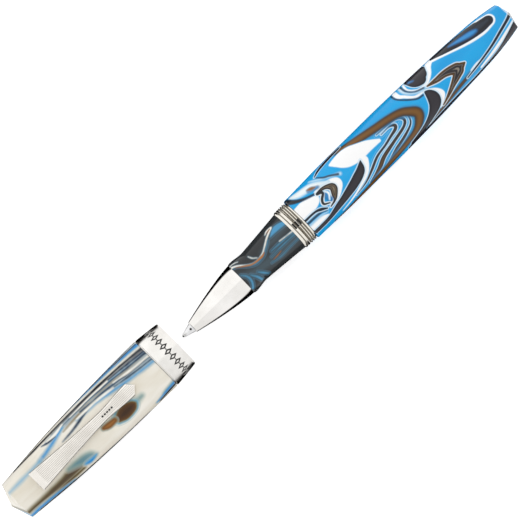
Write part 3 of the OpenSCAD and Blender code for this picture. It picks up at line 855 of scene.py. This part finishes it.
def build_clip():
    """The blade, with a bevelled edge and fine lengthwise grooves, its leg, its foot and its bump."""
    stations = np.concatenate([np.linspace(CLIP_X, CLIP_X + 2.6, 12),
                               np.linspace(CLIP_X + 2.7, CLIP_SHOULDER, 220),
                               np.linspace(CLIP_SHOULDER + 0.1, CLIP_END - 0.04, 20)])
    across = 110
    rows = []
    for x in stations:
        half, top = clip_half(x), clip_top(x)
        bevel = min(0.32, 0.5 * half)
        rounded_end = 0.1 * (1 - min(1.0, (x - CLIP_X) / 0.3))
        row = []
        for y in np.linspace(-half, half, across):
            edge = max(0.0, abs(y) - (half - bevel)) / bevel
            z = top - 0.35 * edge ** 1.6 - 0.05 * (y / half) ** 2 - rounded_end
            row.append((x, y, min(sunk(z, groove_distance(x, y), 0.05), sunk(z, mark_distance(x, y), 0.06))))
        row += [(x, half * 0.97, top - CLIP_T + 0.1), (x, half * 0.85, top - CLIP_T)]
        row += [(x, -half * 0.85, top - CLIP_T), (x, -half * 0.97, top - CLIP_T + 0.1)]
        rows.append(row)
    count = len(rows[0])
    points = [p for row in rows for p in row]
    faces = ring_faces(len(rows), count)
    faces += [list(range(count)), [(len(rows) - 1) * count + j for j in range(count)]]
    leg = ((CLIP_X, -2, 4.6), (CLIP_X + 1, 2, 9.1))
    foot = ((CLIP_FOOT, -1.6, 4.6), (CLIP_X + 0.1, 1.6, 5.1))
    bump = ((CLIP_SHOULDER - 1.9, -1.0, 8.44), (CLIP_SHOULDER - 0.5, 1.0, 8.9))
    for low, high in (leg, foot, bump):
        more, sides = box_points(low, high)
        faces += [[len(points) + i for i in face] for face in sides]
        points += more
    # The first inlay tints the engraved lines brown: painted shade in the grooves.
    look = metal("clip_metal", "f4f0e9", 0.16, (0.1, 4, 1), 3.0, 0.004,
                 inlays=[("grooves", "5e5446", 0.5), ("marks", INK_AND_HOLE_SHADE, 1.0)])
    clip = mesh_object("clip_blade", points, faces, look)
    for name, distance in (("grooves", groove_distance), ("marks", mark_distance)):
        top_face = [distance(x, y) if z > clip_top(x) - 0.3 else 1.0 for x, y, z in points]
        store(clip, name, top_face)
    place(clip, "clip", "satin_metal", "clip")


# ------------ pen pieces
BARREL_BUSH_R = 5.5
BARREL_BORE_R = 3.5
BARREL_FACETS_FROM = 70.0
BARREL_BACK = BARREL_LENGTH - 2  # the strokes on the barrel's back run from here towards the mouth


def build_barrel():
    """The barrel's resin, bored for its bush and for the refill and its spring."""
    bush_depth = span("barrel_bush")[1] - MOUTH_X
    floor = span("refill_spring")[1] + GAP - MOUTH_X
    length = BARREL_LENGTH - TAIL_POINT
    bore = [(0.0, BARREL_BUSH_R), (bush_depth, BARREL_BUSH_R), (bush_depth, BARREL_BORE_R),
            (floor, BARREL_BORE_R), (floor, 0.3)]
    looks = resin("barrel_resin", (SKY, "1ca0e2"), BARREL_LOOKS, sway=0.07, sway_scale=0.3)
    barrel = pointed_shell("barrel_resin", MOUTH_X, 1, barrel_r, length, TAIL_POINT, TAIL_R, bore,
                           BARREL_FACETS_FROM, looks)
    paint(barrel, MOUTH_X, 1, BARREL_LAYERS, BARREL_BACK)
    place(barrel, "barrel", "barrel_resin", "barrel_shell")


def build_grip():
    """The resin grip, flared towards the cone and waisted behind it."""
    start, end, _ = span("section_grip")
    flare, throat, flare_r = start + 0.9, start + 5, 5.36

    def radius(x):
        if x < throat:
            return flare_r - (flare_r - GRIP_WAIST_R) * float(ease(max(x - flare, 0) / (throat - flare)))
        return GRIP_WAIST_R + (GRIP_R - GRIP_WAIST_R) * ((x - throat) / (end - throat)) ** 1.08

    front = [(start, SLEEVE_R), (start, 5.14), (start + 0.08, 5.2), (start + 0.3, 5.3), (start + 0.55, 5.34)]
    outside = curve(radius, flare, end - 0.12, 70)
    profile = front + outside + [(end, GRIP_R - 0.08), (end, SLEEVE_R)]
    looks = resin("section_resin", (COAL, "2c3032"), GRIP_LOOKS, sway=0.12, sway_scale=0.3)
    grip = turned("grip_resin", profile, looks)
    paint(grip, GRIP_X, 1, GRIP_LAYERS, GRIP_LENGTH)
    place(grip, "section", "section_resin", "section_grip")


RING_PITCH = 0.7                 # of the cap's thread
RING_PHASE = 0.4
TENON_PITCH = 0.75               # of the thread that holds the section in the barrel
RING_NOTCHES = (1.4, 2.3, 3.3)   # distances of the dark notches in its top from the ring's front


def notch_distance(x, r, angles):
    """Distance to the short dark notches along the ring's top, negative inside a notch."""
    along = np.min([np.abs(x - COLLAR_X - middle) for middle in RING_NOTCHES], axis=0) - 0.28
    across = np.abs(r * np.sin(angles)) - 0.95
    return np.where(np.cos(angles) > 0, np.maximum(along, across), 1.0)


def build_thread_ring():
    """The ring with the crests of the cap's thread, and the tenon that screws into the barrel."""
    plain = 1.9
    collar_end = MOUTH_X - GAP
    crest_from, crest_to = COLLAR_X + plain + 0.1, collar_end - 0.35
    sleeve_end = span("section_sleeve")[1]
    root, crest_middle = CREST_R - CREST_HEIGHT, CREST_R - CREST_HEIGHT / 2
    groove_r, relief_r, tenon_root, tenon_middle = 6.36, 6.1, 4.1, 4.3
    front = [(0, SLEEVE_R), (0, 6.12), (0.06, 6.22), (0.35, COLLAR_R - 0.04), (0.5, COLLAR_R),
             (0.75, COLLAR_R), (0.85, groove_r), (1.0, groove_r)]
    front += [(t, COLLAR_R) for t in (1.1, 1.18, 1.3, 1.5, plain - 0.3)]
    front += [(plain - 0.2, COLLAR_R - 0.04), (plain, root)]
    rows = [(COLLAR_X + t, r) for t, r in front]
    rows += [(x, crest_middle) for x in np.linspace(crest_from, crest_to, 56)]
    rows += [(crest_to + 0.05, relief_r), (collar_end, relief_r), (collar_end, tenon_root)]
    rows += [(x, tenon_middle) for x in np.linspace(collar_end + 0.4, TENON_END - 0.5, 80)]
    rows += [(TENON_END - 0.1, tenon_root), (TENON_END, SLEEVE_R), (TENON_END, REFILL_BORE_R),
             (sleeve_end, REFILL_BORE_R), (sleeve_end, SLEEVE_R)]
    crest = screw_thread(RING_PITCH, CREST_HEIGHT / 2, RING_PHASE)
    fine = screw_thread(TENON_PITCH, 0.19)

    def shape(x, r, angles):
        if r[0] == tenon_middle:
            return fine(x, r, angles)
        if r[0] == crest_middle:
            x, r = crest(x, r, angles)
        if min(r) > 6.2:
            r = sunk(r, notch_distance(x, r, angles), 0.1)
        return x, r

    # The first inlay darkens the thread's valleys and the front groove with a brown tint: painted shade in
    # the recesses.
    look = metal("thread_metal", "f6f2e8", 0.12, (4, 1, 1), 3.0, 0.003,
                 inlays=[("valley_shade", "5c5344", 0.8), ("notch", INK_AND_HOLE_SHADE, 1.0)])
    thread = turned("thread_ring", rows, look, SEGMENTS, shape)
    x, radius, angles = polar(thread)
    valley_shade = np.where(x > COLLAR_X + plain, radius - (root + 0.1), radius - 6.42)
    store(thread, "valley_shade", np.where((radius > 6.2) & (x > COLLAR_X + 0.4), valley_shade, 1.0))
    store(thread, "notch", np.where(radius > 6.0, notch_distance(x, radius, angles), 1.0))
    place(thread, "section", "polished_metal", "thread_collar")


def build_cone(look):
    """The polished cone, bored for the sleeve, the refill and its tip."""
    length = GRIP_X - CONE_X
    front_r, tip_clear_r, housing_clear_r = 1.75, 1.55, 2.45
    socket = span("section_sleeve")[0] - GAP
    tube = span("refill_tube")[0] - 0.6
    seat = span("refill_housing")[0] - GAP
    profile = [(CONE_X, tip_clear_r), (CONE_X, front_r - 0.12)]
    profile += curve(lambda x: CONE_R - (CONE_R - front_r) * (1 - (x - CONE_X) / length) ** 1.4,
                     CONE_X + 0.1, GRIP_X - 0.05, 90)
    profile += [(GRIP_X, CONE_R - 0.06), (GRIP_X, SLEEVE_R + GAP), (socket, SLEEVE_R + GAP),
                (socket, REFILL_BORE_R), (tube, REFILL_BORE_R), (tube, housing_clear_r),
                (seat, housing_clear_r), (seat, tip_clear_r)]
    cone = turned("polished_cone", profile, look)
    place(cone, "nose", "polished_metal", "nose_cone")


def build_refill_point():
    """The refill's small metal cone, with its crimped end and a vent hole near its base."""
    start, end, _ = span("refill_tip")
    base_x, base_r = CONE_X + 0.1, 1.46
    front_x, front_r = start + 0.55, 0.62
    back_x, back_r = base_x - 0.12, 1.43
    seat_r, spigot_r, bore_r = 0.2, 0.95, 0.6
    vent_x, vent_r = base_x - 0.85, 0.3
    profile = [(start + 0.35, seat_r), (start, 0.34), (start, 0.4), (start + 0.1, 0.46), (start + 0.5, 0.56)]
    profile += curve(lambda x: front_r + (back_r - front_r) * (x - front_x) / (back_x - front_x),
                     front_x, back_x, 44)
    profile += [(base_x, base_r), (end - 4, base_r), (end - 4, spigot_r), (end, spigot_r), (end, bore_r),
                (start + 3, bore_r), (start + 3, seat_r)]

    def vent(x, r, angles):
        """Distance to the vent hole, negative inside it."""
        return np.hypot(x - vent_x, r * np.sin(angles)) - vent_r + FAR * (np.cos(angles) < 0)

    def drilled(x, r, angles):
        if abs(x[0] - vent_x) < 2 * vent_r and r[0] > 0.9:
            r = sunk(r, vent(x, r, angles), 0.2, 0.06)
        return x, r

    # The vent inlay fills the shallow hole with black: painted shade inside the vent hole.
    looks = metal("point_metal", "efefef", 0.12, (0.3, 2, 2), 4.0, 0.001, "b0b0b4", 0.3,
                  inlays=[("vent", INK_AND_HOLE_SHADE, 1.0)])
    point = turned("refill_point", profile, looks, 160, drilled)
    x, radius, angles = polar(point)
    hidden = (radius < 0.85) | (x > base_x)
    store(point, "vent", np.where(hidden, 1.0, vent(x, radius, angles)))
    place(point, "refill", "refill_metal", "refill_tip")


# ------------ scene
SKY_LIGHT = 0.72                 # strength of the studio on matt surfaces
MIRRORED = 1.12                  # strength of the studio as metal and gloss mirror it


def build_floor():
    """A pale floor just under the pen, which metal and gloss don't mirror."""
    low, _ = CAD_BOX
    level, half = low[2] / MM - 0.02, 4000
    corners = [(x, y, level) for x, y in ((-half, -half), (half, -half), (half, half), (-half, half))]
    floor = mesh_object("floor", corners, [(0, 1, 2, 3)])
    shader = Shader("pale_floor", Roughness=0.9, Specular_IOR_Level=0.0, Emission_Color=linear("ffffff"),
                    Emission_Strength=0.45)
    cloud = shader.between(shader.noise(0.01, 3.0), 0.3, 0.7)
    shader.link("Base Color", shader.mix(cloud, linear("fafafa"), linear("f4f4f4")))
    floor.data.materials.append(shader.material)
    floor.visible_glossy = False


def build_world():
    """A pale studio. Metal and gloss mirror it bright above and past both ends, dark low at the sides."""
    world = bpy.data.worlds.new("studio")
    bpy.context.scene.world = world
    world.use_nodes = True
    nodes = Nodes(world.node_tree)
    ray = nodes.add("LightPath", {})
    direction = nodes.add("TexCoord", {}).outputs["Generated"]
    x, y, z = nodes.add("SeparateXYZ", {0: direction}).outputs
    lean = nodes.math("MULTIPLY_ADD", nodes.math("ABSOLUTE", x), 2.8, z)
    bright = nodes.between(lean, -0.2, 0.0, 0.0, MIRRORED)
    mirrored = nodes.math("MULTIPLY", bright, nodes.between(y, -0.1, 0.02, 0.87, 1.0))
    strength = nodes.add("Mix", {0: ray.outputs["Is Glossy Ray"], 2: SKY_LIGHT, 3: mirrored})
    seen = nodes.add("Mix", {0: ray.outputs["Is Camera Ray"], 2: strength.outputs[0], 3: 1.0})
    background = nodes.tree.nodes["Background"].inputs
    nodes.tree.links.new(seen.outputs[0], background["Strength"])
    background["Color"].default_value = (1.0, 1.0, 1.0, 1.0)


def area_light(name, place_at, target, size, power):
    """A soft lamp that points at its target and isn't mirrored in metal and gloss. Lengths are in metres."""
    light = bpy.data.lights.new(name, "AREA")
    light.shape = "RECTANGLE"
    light.size, light.size_y = size
    light.energy = power
    made = bpy.data.objects.new(name, light)
    made.location = place_at
    made.rotation_euler = (Vector(target) - Vector(place_at)).to_track_quat("-Z", "Y").to_euler()
    made.visible_glossy = False
    bpy.context.scene.collection.objects.link(made)


CAMERA_LEAN = 3.7                # degrees from straight above the pen, towards the crown
CAMERA_ROLL = 44.75              # degrees that the pen runs up to the right
CAMERA_LENS = 206.6
CAMERA_DISTANCE = 0.82           # metres
CAMERA_TARGET = Vector((-0.03805, 0.00008, 0))


def build_camera():
    """Above the cap, looking down on the pen, which runs up to the right."""
    lean, roll = math.radians(CAMERA_LEAN), math.radians(CAMERA_ROLL)
    back = Vector((-math.sin(lean), 0, math.cos(lean)))
    along = Vector((math.cos(lean), 0, math.sin(lean)))
    side = Vector((0, 1, 0))
    right = along * math.cos(roll) - side * math.sin(roll)
    up = along * math.sin(roll) + side * math.cos(roll)
    data = bpy.data.cameras.new("camera")
    data.sensor_width = 36
    data.lens = CAMERA_LENS
    data.clip_start, data.clip_end = 0.01, 20
    camera = bpy.data.objects.new("camera", data)
    place_at = CAMERA_TARGET + back * CAMERA_DISTANCE
    rows = [(right[i], up[i], back[i], place_at[i]) for i in range(3)]
    camera.matrix_world = Matrix(rows + [(0, 0, 0, 1)])
    bpy.context.scene.collection.objects.link(camera)
    bpy.context.scene.camera = camera


build_camera()
build_world()
build_floor()
area_light("overhead", (-0.1, 0.12, 0.55), (-0.04, 0, 0), (0.7, 0.5), 1.0)
bpy.context.scene.view_settings.view_transform = "Standard"

polished = metal("polished_metal", "f7f5f2", 0.06, (4, 1, 1), 3.0, 0.001)
inner = metal("turned_metal", "b9b6b0", 0.3, (6, 1, 1), 3.0, 0.006, "8f8b84", 0.5)
steel = metal("drawn_steel", "c4c4c6", 0.25, (0.15, 3, 3), 3.0, 0.005, "9a9a9c", 0.4)
wire = metal("spring_wire", "a9a9ad", 0.28, (1, 1, 1), 6.0, 0.004, "77777a", 0.5)
carbide = metal("ball_carbide", "77777b", 0.12, (1, 1, 1), 8.0, 0.001, "5c5c60", 0.3)
brass = metal("turned_brass", "c9a25a", 0.25, (6, 1, 1), 3.0, 0.006, "9a7636", 0.6)
liner = plastic("liner_plastic", "18181b", "232327", 0.5)
plug = plastic("plug_plastic", "16245c", "0f1a44", 0.45)
ink = fibre("ink_fibre", "10206c", "24389c")

build_cap_resin()
build_lip_band()
build_thread_bush(inner)
build_clip()
build_barrel()
build_grip()
build_thread_ring()
build_cone(polished)
build_refill_point()

CAD_FINISHES = {
    "inner_cap": liner, "clip_retainer": brass, "cap_screw": inner, "barrel_bush": inner,
    "section_sleeve": inner, "refill_tube": steel, "refill_end_plug": plug, "refill_housing": liner,
    "writing_ball": carbide, "ink_reservoir": ink, "ink_wick": ink, "refill_spring": wire,
}
for node_name, finish in CAD_FINISHES.items():
    for material_slot in frame["nodes"][node_name].material_slots:
        material_slot.material = finish
